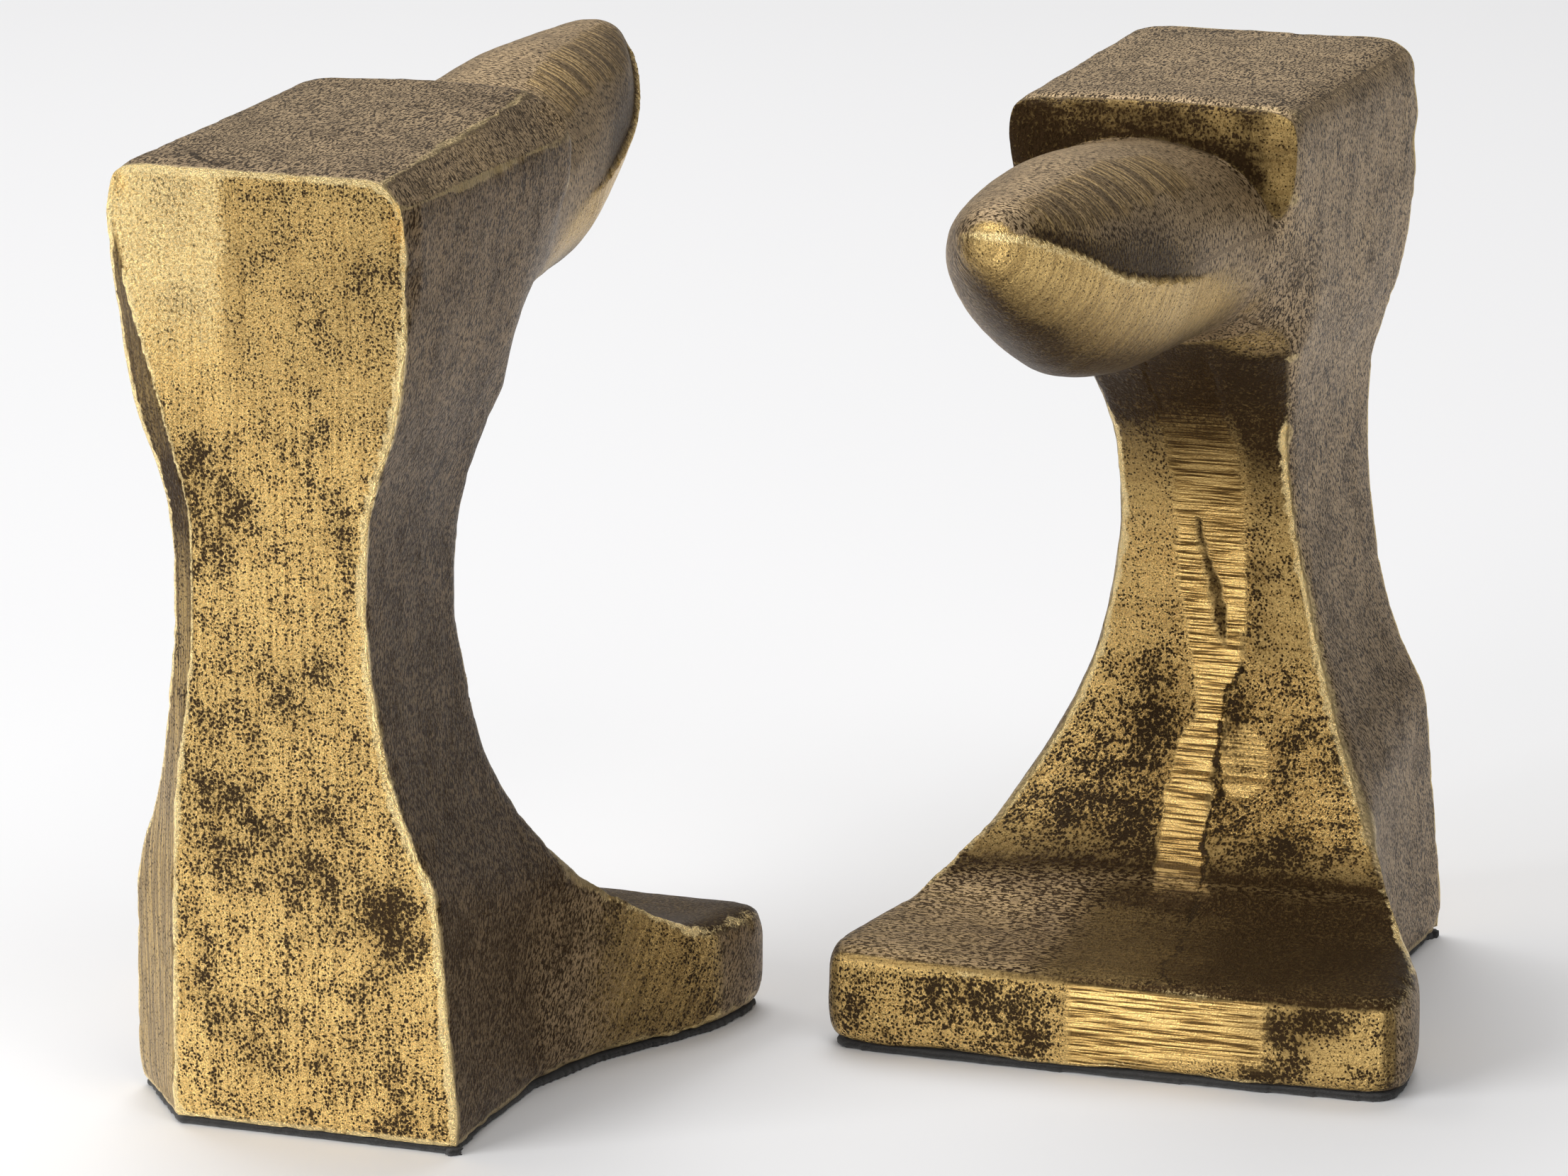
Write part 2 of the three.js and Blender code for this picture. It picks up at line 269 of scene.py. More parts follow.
def averaged(values, squares, rounds):
    """Values at points, each mixed with those around it."""
    corner = squares.ravel()
    shares = np.bincount(corner, minlength=len(values))[:, None]
    for _ in range(rounds):
        middle = np.repeat(values[squares].mean(1), 4, axis=0)
        values = gathered(corner, middle, len(values)) / shares
    return values


def bulging(points, squares, normals):
    """How far a point stands out of its neighbourhood, in millimetres: above 0 on edges."""
    around = averaged(points, squares, 2)
    return averaged(((points - around) * normals).sum(1)[:, None], squares, 1)[:, 0]


def hollowness(points, squares, normals):
    """How far a point lies inside its wider neighbourhood, in millimetres: above 0 in hollows."""
    around = averaged(points, squares, HOLLOW_ROUNDS)
    return averaged(((around - points) * normals).sum(1)[:, None], squares, 3)[:, 0]


def blended_horn(points, squares):
    """Lets the horn flow out of the head, the way the casting does on its plain side and underneath."""
    x, y, z = points.T
    flank = ramp(x, 62, 80) * (1 - ramp(x, 118, 138)) * ramp(z, 143, 152) * (1 - ramp(z, 170, 182))
    flank *= ramp(-y, 0, 14)
    normals = point_normals(points, squares)
    under = ramp(x, 62, 74) * (1 - ramp(x, 112, 128)) * ramp(z, 136, 146) * (1 - ramp(z, 164, 176))
    under *= ramp(averaged(hollowness(points, squares, normals)[:, None], squares, 8)[:, 0], 0.0, 0.4)
    weight = np.maximum(flank, under)[:, None]
    for _ in range(FILLET_ROUNDS):
        points = points + weight * (averaged(points, squares, 1) - points)
    return points


def bevelled_top(points):
    """Grinds the plain side's long top edge to a flat bevel."""
    x, y, z = points.T
    along = np.clip(x / HEAD_DEPTH, 0, 1)
    radius = TOP_RADIUS + TOP_RADIUS_GAIN * along
    corner = (HEAD_HALF_WIDTH - HEAD_TAPER * along + TOP_EDGE) / math.sqrt(2)
    limit = corner - (math.sqrt(2) - 1) * radius - BEVEL_DEPTH
    over = np.maximum((z - y) / math.sqrt(2) - limit, 0)
    over *= ramp(z, 180, 182) * ramp(-y, 0, 2) * (1 - ramp(x, 93, 96))
    return points - over[:, None] * np.array([0, -1, 1]) / math.sqrt(2)


def make_object(name, points, squares, attributes, material):
    mesh = bpy.data.meshes.new(name)
    mesh.from_pydata((points * MILLIMETRE).tolist(), [], squares.tolist())
    mesh.polygons.foreach_set("use_smooth", np.ones(len(squares), bool))
    for label, values in attributes.items():
        if values.ndim == 2:
            layer = mesh.attributes.new(label, "FLOAT_VECTOR", "POINT")
            layer.data.foreach_set("vector", values.astype(np.float32).ravel())
        else:
            layer = mesh.attributes.new(label, "FLOAT", "POINT")
            layer.data.foreach_set("value", values.astype(np.float32))
    mesh.materials.append(material)
    mesh.update()
    piece = bpy.data.objects.new(name, mesh)
    bpy.context.scene.collection.objects.link(piece)
    return piece


# ---- The casting's surface ----

# In what follows, a ramp over x, y, z or a height is in millimetres of the casting's own frame, and a ramp
# over nx, ny or nz is over the surface's direction. The factors are strengths, where 1 is full.

# Dark clouds on the flat back: (across, up), (half width, half height), strength
BACK_CLOUDS = [
    ((18, 133), (8, 9), 0.75), ((10, 126), (8, 12), 0.3), ((-28, 150), (4, 6), 0.45),
    ((12, 30), (14, 10), 0.35), ((-27, 47), (7, 9), 0.8), ((-12, 62), (9, 14), 0.4),
    ((12, 68), (9, 10), 0.5), ((-20, 20), (10, 9), 0.25), ((1, 14), (9, 8), 0.2),
    ((-17, 128), (5, 6), 0.35), ((-14, 96), (6, 10), 0.3), ((20, 98), (3, 20), 0.4),
]
# Chips out of the back's corners, in the same order
BACK_CHIPS = [((-30.5, 191), (2.5, 4.5), 1.2), ((-32, 178), (2, 4), 0.9), ((31, 196), (2.5, 3), 1.0)]
# Dark clouds on the waist's front, either side of the strip, and on the foot's front; the two at heights 141
# and 132 darken the neck under the horn, partly dirt, partly painted shadow.
FRONT_CLOUDS = [
    ((-9.5, 92), (5, 3), 0.9), ((-12, 76), (5, 9), 0.55), ((-8.5, 62), (3, 9), 0.6),
    ((-18, 60), (4, 6), 0.3), ((-8.5, 44), (3, 5), 0.5), ((11, 62), (6, 8), 0.35),
    ((25, 42), (9, 6), 0.35), ((12, 40), (8, 6), 0.3), ((-22, 39), (10, 6), 0.38),
    ((0, 141), (30, 8), 0.9), ((14, 132), (8, 8), 0.5), ((-38, 14), (8, 7), 1.2),
    ((-46, 17), (5, 4), 0.8), ((-30, 4), (9, 3), 0.9), ((-28, 17), (6, 3), 0.7), ((-27, 11), (5, 4), 0.5),
    ((32, 15), (9, 4), 0.4), ((18, 8), (6, 4), 0.3),
]


def strip_weight(across, up, place, shift):
    """How much a point of the waist's front belongs to the ground strip."""
    wander = 0.9 * field(place, 5, 3 + shift) + 0.5 * field(place, 2.2, 4 + shift)
    ground = np.interp(up, STRIP[:, 0], STRIP[:, 1]) + wander
    plain = np.interp(up, STRIP[:, 0], STRIP[:, 2]) + wander
    return ramp(ground - across, -0.4, 0.4) * ramp(across - plain, -0.4, 0.4) * ramp(up, 24, 29)


def seam_weight(across, up, place, shift):
    """How much a point belongs to the open seam in the strip."""
    middle = np.interp(up, SEAM[:, 0], SEAM[:, 1])
    half = np.interp(up, SEAM[:, 0], SEAM[:, 2], left=-1, right=-1)
    ragged = 0.35 * field(place, 1.8, 9 + shift)
    return ramp(half + ragged - abs(across - middle), -0.45, 0.35)


def crack_distance(place, shift):
    """How far each point is from the nearest crack, up to CRACK_REACH, with a ragged line."""
    wander = np.stack([field(place, 3.5, seed + shift) for seed in (31, 32, 33)], axis=1)
    moved = place + CRACK_WANDER * wander
    nearest = np.full(len(place), CRACK_REACH)
    for crack in CRACKS:
        for start, end in zip(crack[:-1], crack[1:]):
            start, end = np.array(start, float), np.array(end, float)
            run = end - start
            share = np.clip(((moved - start) @ run) / (run @ run), 0, 1)
            nearest = np.minimum(nearest, np.linalg.norm(moved - start - share[:, None] * run, axis=1))
    return nearest


def brush_lines(place, normals):
    """Coordinates for brush and grinding lines: along the line, across it, and a third one."""
    x, y, z = place.T
    along, across, third = x.copy(), y.copy(), z.copy()

    def set_where(chosen, *fields):
        for target, values in zip((along, across, third), fields):
            target[chosen] = values[chosen]

    upright = abs(normals[:, 0]) > 0.55
    side = (abs(normals[:, 1]) > 0.6) & ~upright
    leaning = x * 0.5 + z * 0.87
    set_where(side, leaning, x * 0.87 - z * 0.5, y)
    set_where((normals[:, 0] < -0.4) & (x < 30), z, y + 0.5 * x, x)
    set_where(upright & (x >= 30), y, z, x)
    around_horn = HORN_GIRTH * np.arctan2(z - HORN_AXIS[1], y - HORN_AXIS[0])
    set_where((x > 97) & (z > 140), around_horn, 0.95 * x, 0 * x)
    set_where((normals[:, 2] > 0.55) & (z < 60), y, x, z)
    return np.stack([along, across, third], axis=1)


class Regions:
    """The named regions of a casting's surface, each as a weight from 0 to 1 at every point."""

    def __init__(self, own, normals):
        x, y, z = own.T
        nx, ny, nz = normals.T
        self.back = ramp(-nx, 0.2, 0.35) * (1 - ramp(x, 24, 30))
        self.chamfer = self.back * ramp(ny, 0.15, 0.3)
        self.front = ramp(nx, 0.42, 0.66) * ramp(x, 40, 48)
        self.horn = ramp(x, 90, 104) * ramp(z, 140, 150)
        self.step = self.front * ramp(z, 172, 178) * (1 - ramp(x, 97, 100))
        self.waist = self.front * (1 - ramp(z, 140, 152)) * ramp(z, 24, 27)
        self.root = ramp(nx + nz, 0.6, 0.9) * ramp(x, 40, 48) * ramp(z, 26, 30) * (1 - ramp(z, 42, 50))
        self.foot_front = self.front * (1 - ramp(z, 22, 24))
        self.foot_top = ramp(nz, 0.38, 0.65) * (1 - ramp(z, 28, 35))
        self.foot_side = ramp(abs(ny), 0.4, 0.6) * ramp(x, 35, 60) * (1 - ramp(z, 30, 50))
        head_top = ramp(z, 185, 190) * (1 - self.horn)
        self.top = ramp(nz, 0.7, 0.85) * head_top
        self.bevel = ramp(nz, 0.45, 0.6) * ramp(-ny, 0.4, 0.55) * head_top
        elsewhere = (1 - self.horn) * (1 - self.foot_side) * (1 - self.back) * (1 - 0.6 * self.bevel)
        self.side = ramp(abs(ny), 0.5, 0.7) * elsewhere
        self.plain_half = ramp(-y, -15, -2)


class Marks:
    """What the grinder, the mould and the years left on a casting, as weights from 0 to 1."""

    def __init__(self, own, normals, on, medium, shift):
        x, y, z = own.T
        self.strip = strip_weight(y, z, own, shift) * np.maximum(on.waist, on.root)
        self.seam = seam_weight(y, z, own, shift) * on.waist
        patch = spot(y, z, *FLAT_PATCH) + 0.12 * medium
        self.flat_patch = on.waist * ramp(patch, 0.3, 0.42) * ramp(-y, 5.5, 6.5)
        self.foot_strip = on.foot_front * ramp(y, -36 - 2 * medium, -32) * (1 - ramp(y, 7, 9))
        self.foot_strip *= 1 - ramp(-y, 8, 20) * (1 - ramp(z, 4, 9))
        from_middle = abs(y + 9 - 0.11 * (x - 150) + 1.5 * medium)
        self.horn_strip = on.horn * ramp(normals[:, 2], 0.3, 0.6) * (1 - ramp(from_middle, 4.5, 6))
        self.horn_strip *= ramp(x, 118, 128) * (1 - ramp(x, 186, 192))

        # Millimetres above the horn's crease, and the weights that follow from it.
        self.above = z - np.interp(x, HORN_CREASE[:, 0], HORN_CREASE[:, 1])
        softness = 0.8 + 8 * (1 - ramp(x, 112, 132))
        self.below_crease = ramp(-self.above / softness, -1, 1)
        self.flank = ramp(x, 118, 152) * (1 - ramp(x, 190, 197)) * ramp(-y, -2, 5) * on.horn
        rise = SCOOP_RISE * (1 - 0.5 * ramp(x, 155, 188))
        self.scoop = self.flank * ramp(self.above, -0.5, 0.5)
        self.scoop *= 1 - ramp(self.above, 0.5 * rise, 2.1 * rise)

        clouds = sum(spot(y, z, *cloud) for cloud in BACK_CLOUDS) * on.back
        clouds += sum(spot(y, z, *cloud) for cloud in FRONT_CLOUDS) * (on.waist + on.foot_front)
        self.clouds = clouds * (0.75 + 0.5 * medium)
        self.step_gold = ramp(-y + 5 * field(own, 3, 5 + shift), 20, 26)


def patina_cover(own, normals, on, marks, broad):
    """How much of the dark patina is left: it has come off the back, the front and the horn's lower face."""
    x, y, z = own.T
    gold = np.maximum(on.back, on.front)
    horn_gold = (0.45 + 0.55 * ramp(x, 98, 132)) * marks.below_crease * (0.25 + 0.75 * on.plain_half)
    tip_gold = 0.8 * ramp(x, 186, 193) * ramp(normals[:, 0], 0.5, 0.75) * ramp(-y, -12, -4)
    gold = gold + on.horn * (1 - on.step) * (np.maximum(horn_gold, tip_gold) - gold)
    gold = np.maximum(gold, 0.7 * on.foot_top * (1 - ramp(y, 6, 26)))
    gold = np.maximum(gold, 0.7 * on.foot_side * (1 - ramp(x, 96, 103)) * ramp(x, 45, 88))
    gold = np.maximum(gold, 0.25 * on.bevel)
    beside_horn = ramp(x, 72, 96) * (1 - ramp(z, 158, 172)) * ramp(z, 138, 146)
    gold = np.maximum(gold, 0.45 * on.side * on.plain_half * beside_horn)
    under_horn = ramp(-y, 6, 18) * ramp(z, 138, 147) * (1 - ramp(z, 165, 172))
    gold = gold * (1 - 0.5 * on.front * (1 - on.horn) * under_horn)
    return np.clip(1 - gold + 0.12 * broad, 0, 1) * (1 - 0.6 * marks.scoop)


def grinding_marks(on, marks):
    """Where the metal was ground and shows the grinder's lines."""
    grinding = marks.strip * (1 - marks.seam) + 0.6 * marks.flat_patch + marks.foot_strip
    return np.clip(grinding + 0.8 * marks.horn_strip + 0.4 * on.foot_top, 0, 1)


def horn_painted_shade(own, normals, on, marks):
    """How dark the horn is painted: painted shade, darkest in the scoop, on the faces turned down and far
    below the crease, a little on the lower face, with the faces turned up painted lighter; the nose on the
    ground side and a band above the scoop towards the tip are darker too.
    """
    x, y, _ = own.T
    nx, _, nz = normals.T
    beyond = ramp(marks.above, 4, 9) * (1 - ramp(marks.above, 16, 24)) * ramp(x, 138, 160)
    nose = 0.3 * spot(y, x, (10, 186), (9, 12), 1) + 0.4 * ramp(y, 0, 13) * ramp(nx, 0.3, 0.6)
    # Painted shade on the faces turned down and far below the crease, and painted light on the faces turned
    # up.
    underside = 0.6 * ramp(-nz, 0.3, 0.8) + 0.3 * ramp(-marks.above, 10, 22)
    even = 0.12 * marks.below_crease - 0.2 * ramp(nz, 0.3, 0.7)
    return 1.15 * marks.scoop + 0.4 * marks.flank * beyond + on.horn * (nose + underside + even)


def front_dirt_and_shade(own, on, marks, hollow, medium):
    """How dark the step, the waist's front and the foot are painted: dark seams, strip borders and step,
    painted shade in the hollows, in the corner above the foot and under the horn, and the foot's top and
    sides painted dark as painted reflection.
    """
    x, y, z = own.T
    strip = marks.strip
    strip_border = 4 * strip * (1 - strip) * ramp(-y, -2, 2) * (1 - ramp(z, 70, 90))
    under_horn = ramp(-y, 6, 18) * ramp(z, 141, 149)
    shade = 0.7 * strip_border + 0.8 * marks.seam + 0.14 * marks.foot_strip
    # Painted shade in the corner where the waist meets the foot's top, and in the hollows.
    shade += 0.75 * on.root * (1 - ramp(z, 32, 42)) * (1 - 0.75 * strip)
    shade += 0.8 * ramp(hollow, 0.3, 1.6) * (1 - 0.5 * strip * (1 - ramp(z, 118, 128)))
    # The front darkens from the waist up to the horn: partly dirt, partly painted shadow under the horn.
    shade += 1.1 * ramp(z, 92, 140) * on.front * (1 - ramp(z, 165, 175)) * (1 - under_horn)
    shade += 0.28 * on.waist * ramp(-y, 8, 12) * ramp(z, 66, 76)
    shade += on.step * (0.8 - 0.08 * marks.step_gold + 0.3 * medium)
    # Painted reflection: the foot's top, and its sides in the last line, are painted dark in place of the
    # dark surroundings they reflect.
    across_foot = 0.84 + 0.15 * ramp(-y, 0, 25) - 0.35 * ramp(y, 15, 40)
    shade += on.foot_top * across_foot * (1 - 0.4 * strip)
    shade += 0.25 * on.foot_front * ramp(-y, 34, 40)
    return shade + on.foot_side * (0.17 + 0.2 * (1 - ramp(x, 45, 80)) + 0.3 * ramp(x, 96, 106))


def dirt_and_painted_shade(own, normals, on, marks, hollow, broad, medium, side_shade):
    """How dark each point is painted: dirt clouds, darker chamfers and random tone, and painted shade on the
    front, the horn, the sides, the top and the back's upper plain side.
    """
    _, y, z = own.T
    shade = 0.4 * marks.clouds * (1 - 0.85 * marks.strip)
    shade += front_dirt_and_shade(own, on, marks, hollow, medium) + horn_painted_shade(own, normals, on, marks)
    shade += on.chamfer * (0.42 + 0.4 * ramp(z, 90, 150))
    # Painted shade: the upper back is darker on the plain side of its painted highlight.
    shade += 0.15 * on.back * ramp(z, 145, 160) * ramp(8 - y, -0.6, 0.6)
    # Painted shade: the sides are darker low down, and the left casting's sides and top much darker all over.
    low_down = side_shade * 0.35 * (1 - ramp(z, 120, 165)) + 0.22 * (1 - ramp(z, 100, 170))
    shade += on.side * (side_shade + low_down + 0.1 * (1 - ramp(z, 20, 80)))
    shade += 0.6 * side_shade * on.top
    return np.clip(shade + 0.1 * broad, 0, 1)


def pitting_density(own, on, marks, grinding, broad, medium):
    """How many pits are open."""
    _, y, z = own.T
    pitting = 0.36 + 0.18 * broad + 0.12 * medium + 0.5 * marks.clouds
    pitting += 0.35 * on.step * (1 - marks.step_gold) - 0.4 * on.horn
    pitting += on.waist * (0.16 * (1 - ramp(z, 55, 95)) - 0.07 * ramp(y, 6, 12) * ramp(z, 60, 75))
    pitting += 0.22 * on.foot_front * ramp(y, 9, 14)
    pitting += on.back * (0.1 * (1 - ramp(z, 140, 165)) - 0.24 * ramp(z, 140, 165) * ramp(y, 5, 10))
    smoothed = (1 - 0.85 * grinding) * (1 - 0.4 * on.chamfer) * (1 - 0.8 * on.foot_top)
    return np.clip(pitting * smoothed, 0, 1)


def coarseness(own, on, marks):
    """Where the cast grain is coarse."""
    _, y, z = own.T
    coarse = on.waist * (1 - 0.55 * ramp(z, 50, 90)) * (0.7 + 0.3 * ramp(y, 0, 4))
    coarse += on.foot_front * (0.5 * ramp(-y, 32, 38) + 0.7 * ramp(y, 8, 14))
    coarse += 0.5 * on.back * (1 - 0.5 * ramp(z, 15, 90)) * (1 - ramp(z, 135, 160))
    return np.clip(coarse + 0.3 * marks.clouds + 0.6 * on.step, 0, 1)


def rubbed_edges(own, on, marks, stand_out, medium):
    """Where edges go pale gold: wear and painted highlight along the edges that stand out, and painted
    highlights on the back's upper ground-side part and along the crest under the horn's crease.
    """
    x, y, z = own.T
    # Edges that stand out are painted bright: partly wear, partly painted highlight, lifted further along the
    # waist's front edges.
    on_waist_edge = ramp(x, 38, 44) * (1 - ramp(x, 84, 96)) * ramp(z, 27, 32) * (1 - ramp(z, 122, 138))
    edge = ramp(stand_out + 0.016 * on_waist_edge, *EDGE_STANDS_OUT) * (0.9 + 0.5 * medium)
    edge *= (1 - 0.8 * on.horn) * (1 - 0.7 * on.step)
    edge *= 1 - 0.5 * ramp(x, 80, 90) * ramp(z, 180, 188)
    edge *= 1 - 0.45 * ramp(x, 100, 125) * (1 - ramp(z, 30, 40)) * (1 + 0.7 * ramp(abs(y), 30, 36))
    # Painted highlight on the back's upper ground-side part.
    edge += 0.6 * on.back * (1 - on.chamfer) * ramp(y + 2.5 * medium, 5, 10) * ramp(z, 140, 180)
    # Painted highlight along the crest under the horn's crease on the plain side.
    crest = ramp(-marks.above, -0.6, 0.4) * ramp(marks.above, -3, -0.8) * ramp(x, 145, 165)
    return np.clip(edge + 0.7 * on.horn * on.plain_half * crest, 0, 1)


def relief(own, on, marks, stand_out, broad, medium, shift):
    """How far each point moves out, in millimetres."""
    x, y, z = own.T
    as_cast = 1 - marks.strip
    out = BROAD_HEIGHT * broad + MEDIUM_HEIGHT * medium * as_cast
    out += FINE_HEIGHT * field(own, FINE_SIZE, 6 + shift) * as_cast
    out -= ROUGH_DEPTH * on.waist * as_cast * ramp(z, 30, 50) * (1 - ramp(z, 118, 132))
    out -= SEAM_DEPTH * marks.seam + SCOOP_DEPTH * marks.scoop
    out += CREST_HEIGHT * marks.flank * ramp(-marks.above, -0.4, 0.4) * ramp(marks.above, -3.5, 0)
    out -= sum(spot(y, z, *chip) for chip in BACK_CHIPS) * (1 - ramp(x, 3, 8))
    nicks = ramp(field(own, 4.5, 7 + shift), 0.1, 0.6) * ramp(stand_out, 0.03, 0.08)
    return out - NICK_DEPTH * nicks


def worked_casting(own, normals, stand_out, hollow, shift, side_shade):
    """What the casting's surface is like at each point: a dict of shader values, and how far it moves out."""
    broad = field(own, BROAD_SIZE, 1 + shift)
    medium = field(own, MEDIUM_SIZE, 2 + shift)
    on = Regions(own, normals)
    marks = Marks(own, normals, on, medium, shift)
    grinding = grinding_marks(on, marks)
    striated = 0.75 * on.chamfer + 0.4 * on.foot_side + 0.08 * on.back
    striated += 0.35 * on.horn + 0.6 * marks.horn_strip
    values = {
        "place": own,
        "grain": brush_lines(own, normals),
        "patina": patina_cover(own, normals, on, marks, broad),
        "grinding": grinding,
        "stain": dirt_and_painted_shade(own, normals, on, marks, hollow, broad, medium, side_shade),
        "pitting": pitting_density(own, on, marks, grinding, broad, medium),
        "coarse": coarseness(own, on, marks),
        "edge": rubbed_edges(own, on, marks, stand_out, medium),
        "crack": crack_distance(own, shift),
        "striated": np.clip(striated, 0, 1),
    }
    return values, relief(own, on, marks, stand_out, broad, medium, shift)


def casting(name, node, stance, material, shift, side_shade, ground_away=False):
    row, squares = even_mesh(node, CASTING_VOXEL)
    points = stance.to_own(row)
    squares = stance.winding(squares)
    points = smooth_facets(points, squares)
    points = blended_horn(points, squares)
    if ground_away:
        points = bevelled_top(points)
    normals = point_normals(points, squares)
    stand_out = bulging(points, squares, normals)
    hollow = hollowness(points, squares, normals)
    points = points + EDGE_SOFTENING * (averaged(points, squares, 1) - points)
    facing = averaged(normals, squares, 1)
    values, out = worked_casting(points, facing, stand_out, hollow, shift, side_shade)
    points = points + normals * out[:, None]
    points[:, 2] = np.maximum(points[:, 2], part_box(node)[0].z / MILLIMETRE)
    return make_object(name, stance.to_row(points), stance.winding(squares), values, material)


# ---- The felt pad ----


def felt_pad(name, node, material, shift):
    """A felt pad with a furry rim that swells a little where the casting doesn't hold it."""
    points, squares = even_mesh(node, FELT_VOXEL)
    normals = point_normals(points, squares)
    low, high = (corner.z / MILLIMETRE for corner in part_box(node))
    rim = ramp(np.linalg.norm(normals[:, :2], axis=1), 0.3, 0.8)
    fuzz = FELT_TUFTS * field(points, 1.6, 21 + shift) + FELT_WAVES * field(points, 9, 22 + shift)
    points = points + normals * (rim * (FELT_SWELL + fuzz))[:, None] * [1, 1, 0]
    points[:, 2] = np.clip(points[:, 2], low, high)
    return make_object(name, points, squares, {"place": points}, material)


# ---- Materials ----


class Graph:
    """Builds a material's nodes. Every method returns the output socket of the node it adds."""

    def __init__(self, name):
        self.material = bpy.data.materials.new(name)
        self.material.use_nodes = True
        self.tree = self.material.node_tree
        self.shader = self.tree.nodes["Principled BSDF"]

    def feed(self, socket, value):
        if isinstance(value, bpy.types.NodeSocket):
            self.tree.links.new(value, socket)
        elif isinstance(value, tuple) and len(value) == 3 and socket.type == "RGBA":
            socket.default_value = (*value, 1)
        else:
            socket.default_value = value

    def attribute(self, name, vector=False):
        node = self.tree.nodes.new("ShaderNodeAttribute")
        node.attribute_name = name
        return node.outputs["Vector" if vector else "Fac"]

    def calculate(self, operation, first, second=0.0, clamp=False):
        node = self.tree.nodes.new("ShaderNodeMath")
        node.operation = operation
        node.use_clamp = clamp
        self.feed(node.inputs[0], first)
        self.feed(node.inputs[1], second)
        return node.outputs[0]

    def ramp(self, value, low, high, start=0.0, end=1.0):
        """Goes smoothly from start to end while value goes from low to high."""
        node = self.tree.nodes.new("ShaderNodeMapRange")
        node.interpolation_type = "SMOOTHSTEP"
        self.feed(node.inputs["Value"], value)
        self.feed(node.inputs["From Min"], low)
        self.feed(node.inputs["From Max"], high)
        self.feed(node.inputs["To Min"], start)
        self.feed(node.inputs["To Max"], end)
        return node.outputs["Result"]

    def stretched(self, vector, scale):
        node = self.tree.nodes.new("ShaderNodeMapping")
        self.feed(node.inputs["Vector"], vector)
        node.inputs["Scale"].default_value = scale
        return node.outputs["Vector"]

    def noise(self, vector, scale, detail=2.0, roughness=0.5, distortion=0.0):
        node = self.tree.nodes.new("ShaderNodeTexNoise")
        self.feed(node.inputs["Vector"], vector)
        node.inputs["Scale"].default_value = scale
        node.inputs["Detail"].default_value = detail
        node.inputs["Roughness"].default_value = roughness
        node.inputs["Distortion"].default_value = distortion
        return node.outputs["Fac"]

    def pores(self, vector, scale):
        """How far each place is from the nearest of many scattered points."""
        node = self.tree.nodes.new("ShaderNodeTexVoronoi")
        self.feed(node.inputs["Vector"], vector)
        node.inputs["Scale"].default_value = scale
        return node.outputs["Distance"]

    def mix(self, share, first, second):
        """Mixes two colours: the first where share is 0, the second where it is 1."""
        node = self.tree.nodes.new("ShaderNodeMix")
        node.data_type = "RGBA"
        self.feed(node.inputs["Factor"], share)
        self.feed(node.inputs[6], first)
        self.feed(node.inputs[7], second)
        return node.outputs[2]

    def blend(self, share, first, second):
        """The same with two numbers."""
        node = self.tree.nodes.new("ShaderNodeMix")
        node.data_type = "FLOAT"
        self.feed(node.inputs["Factor"], share)
        self.feed(node.inputs[2], first)
        self.feed(node.inputs[3], second)
        return node.outputs[0]

    def bump(self, height, strength=1.0):
        node = self.tree.nodes.new("ShaderNodeBump")
        node.inputs["Strength"].default_value = strength
        node.inputs["Distance"].default_value = MILLIMETRE
        self.feed(node.inputs["Height"], height)
        return node.outputs["Normal"]


BRIGHT_GOLD = (0.93, 0.64, 0.24)
WARM_GOLD = (0.56, 0.33, 0.09)
# Pale gold for wear and painted highlights.
WORN_AND_HIGHLIT_GOLD = (1.0, 0.77, 0.37)
PIT_BLACK = (0.05, 0.031, 0.015)
PATINA_LIGHT = (0.50, 0.36, 0.205)
PATINA_DARK = (0.050, 0.031, 0.014)
# A dark brown for dirt, dark lines and painted shade.
DIRT_AND_SHADE_BROWN = (0.044, 0.024, 0.009)
FELT_BLACK = (0.004, 0.004, 0.004)
FELT_GREY = (0.022, 0.021, 0.02)
LINT = (0.10, 0.09, 0.08)
PAPER_WHITE = (0.86, 0.86, 0.87)
DAYLIGHT = (1.0, 0.99, 0.975)

BRIGHT_ROUGHNESS = 0.24
DULL_ROUGHNESS = 0.5
DULL_METALLIC = 0.6
BRASS_SPECULAR = 0.1

# How many bumps each noise has to a millimetre
FINE_SPECKS = 1.55
COARSE_SPECKS = 0.95
GRIT = 2.4
CLOUDS = 0.13
STROKES = 1.15
STREAKS = 0.9
RIBS = 2.1
PORES = 1.25

# The surface values that the brass reads
BRASS_VALUES = ("patina", "grinding", "stain", "pitting", "coarse", "edge", "crack", "striated")


def brass_noises(graph, look):
    """The noises that the brass is made from."""
    grain = graph.attribute("grain", vector=True)
    upright = graph.stretched(look.place, (1, 1, 0.8))
    drawn_out = graph.stretched(grain, (0.035, 1.0, 0.035))
    fine_specks = graph.noise(upright, FINE_SPECKS, detail=3, roughness=0.7)
    coarse_specks = graph.noise(upright, COARSE_SPECKS, detail=4, roughness=0.68)
    look.specks = graph.blend(look.coarse, fine_specks, coarse_specks)
    look.grit = graph.noise(look.place, GRIT, detail=3, roughness=0.6)
    look.clouds = graph.noise(look.place, CLOUDS, detail=4, roughness=0.62)
    brushed = graph.stretched(grain, (0.75, 1.9, 0.75))
    look.strokes = graph.noise(brushed, STROKES, detail=2, roughness=0.5)
    look.streaks = graph.noise(drawn_out, STREAKS, detail=3, roughness=0.6)
    look.ribs = graph.noise(drawn_out, RIBS, detail=2, roughness=0.6)


